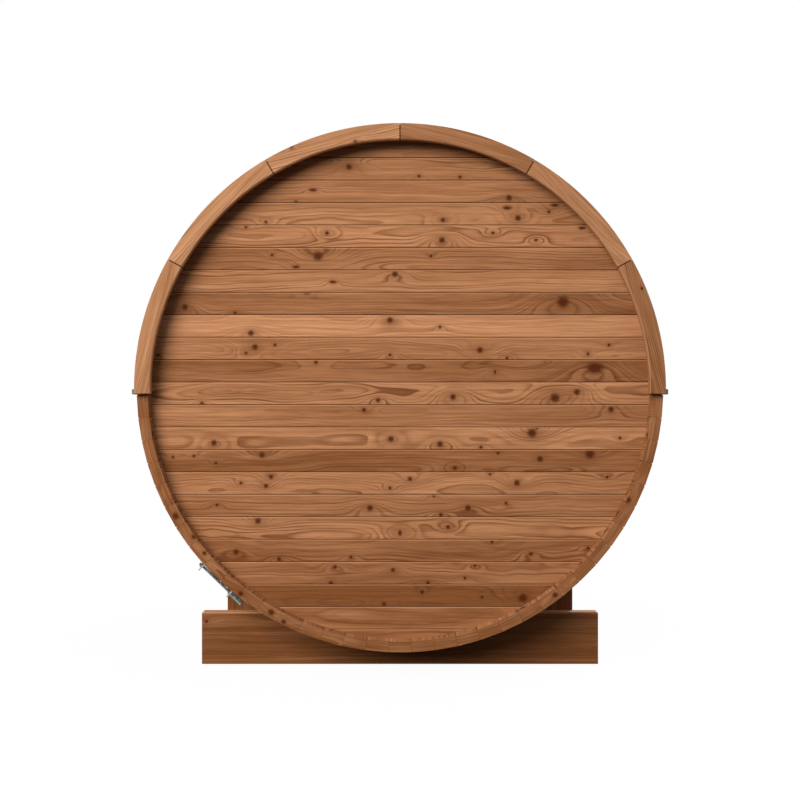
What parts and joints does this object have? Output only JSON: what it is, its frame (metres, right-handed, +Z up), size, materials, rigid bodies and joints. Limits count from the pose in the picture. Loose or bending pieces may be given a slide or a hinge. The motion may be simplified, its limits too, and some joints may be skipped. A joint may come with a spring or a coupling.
{
  "type": "barrel sauna",
  "caption": "Round timber barrel cabin of tongued staves with boarded ends, a plank door, a felt roof, steel hoops and two plank cradles.",
  "frame": {"origin": "on the ground below the middle of the barrel", "axes": "+Z up, +Y towards the door end, +X to the right when looking at the plain rear end"},
  "size_m": [2.0752, 2.256, 2.1555],
  "materials": {
    "stave_timber": "satin oiled heat-treated softwood",
    "wall_board_timber": "satin oiled heat-treated softwood",
    "arch_timber": "satin oiled heat-treated softwood",
    "cradle_timber": "planed treated softwood",
    "door_timber": "satin oiled heat-treated softwood",
    "floor_timber": "planed softwood",
    "roof_felt": "matt mineral felt",
    "rail_metal": "satin dark coated bar",
    "galvanised_steel": "dull galvanised"
  },
  "bodies": {
    "root": {"staves_bottom": "stave_timber", "staves_lower_right": "stave_timber", "staves_upper_right": "stave_timber", "staves_top": "stave_timber", "staves_upper_left": "stave_timber", "staves_lower_left": "stave_timber", "rear_wall": "wall_board_timber", "front_wall_left": "wall_board_timber", "front_wall_right": "wall_board_timber", "front_wall_head": "wall_board_timber", "front_wall_sill": "wall_board_timber", "rear_arch_1": "arch_timber", "rear_arch_2": "arch_timber", "rear_arch_3": "arch_timber", "rear_arch_4": "arch_timber", "rear_arch_5": "arch_timber", "rear_arch_6": "arch_timber", "front_arch_1": "arch_timber", "front_arch_2": "arch_timber", "front_arch_3": "arch_timber", "front_arch_4": "arch_timber", "front_arch_5": "arch_timber", "front_arch_6": "arch_timber", "rear_cradle_outer_beam": "cradle_timber", "front_cradle_outer_beam": "cradle_timber", "rear_cradle_left_chock": "cradle_timber", "rear_cradle_right_chock": "cradle_timber", "front_cradle_left_chock": "cradle_timber", "front_cradle_right_chock": "cradle_timber", "door_frame": "door_timber", "door_leaf": "door_timber", "door_ledges": "door_timber", "door_handle": "door_timber", "floor_deck": "floor_timber", "floor_bearers": "floor_timber", "roof_membrane": "roof_felt", "roof_edge_rail_left": "rail_metal", "roof_edge_rail_right": "rail_metal", "hoop_rear": "galvanised_steel", "hoop_front": "galvanised_steel", "tension_rod_rear": "galvanised_steel", "tension_rod_front": "galvanised_steel", "door_hinges": "galvanised_steel"}
  },
  "joints": []
}
